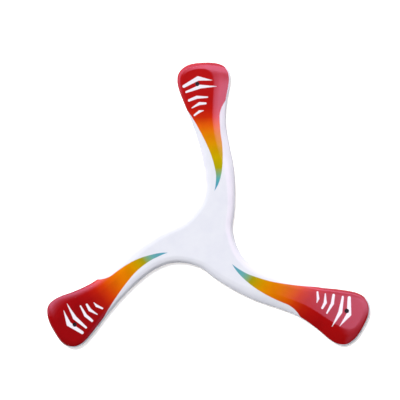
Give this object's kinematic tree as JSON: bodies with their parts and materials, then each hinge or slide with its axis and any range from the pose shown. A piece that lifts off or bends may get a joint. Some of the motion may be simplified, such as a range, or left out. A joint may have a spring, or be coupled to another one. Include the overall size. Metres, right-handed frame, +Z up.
{
  "type": "three-bladed boomerang",
  "caption": "Three-bladed returning boomerang of glued birch plies, shaped to an airfoil, with a metal weight let into each tip.",
  "frame": {"origin": "centre of the hub on the flat underside", "axes": "+Z up out of the shaped upper face; +Y along blade 1, the others follow counter-clockwise every 120 degrees"},
  "size_m": [0.2891, 0.2568, 0.005],
  "materials": {
    "birch_light": "satin",
    "birch_dark": "satin",
    "weight_metal": "matte",
    "painted_finish": "gloss",
    "glue": "gloss"
  },
  "bodies": {
    "root": {"ply_01": "birch_light", "ply_02": "birch_dark", "ply_03": "birch_light", "ply_04": "birch_dark", "ply_05": "birch_light", "ply_06": "birch_dark", "ply_07": "birch_light", "ply_08": "birch_dark", "ply_09": "birch_light", "ply_10": "birch_dark", "tip_weight_1": "weight_metal", "tip_weight_2": "weight_metal", "tip_weight_3": "weight_metal"}
  },
  "joints": []
}
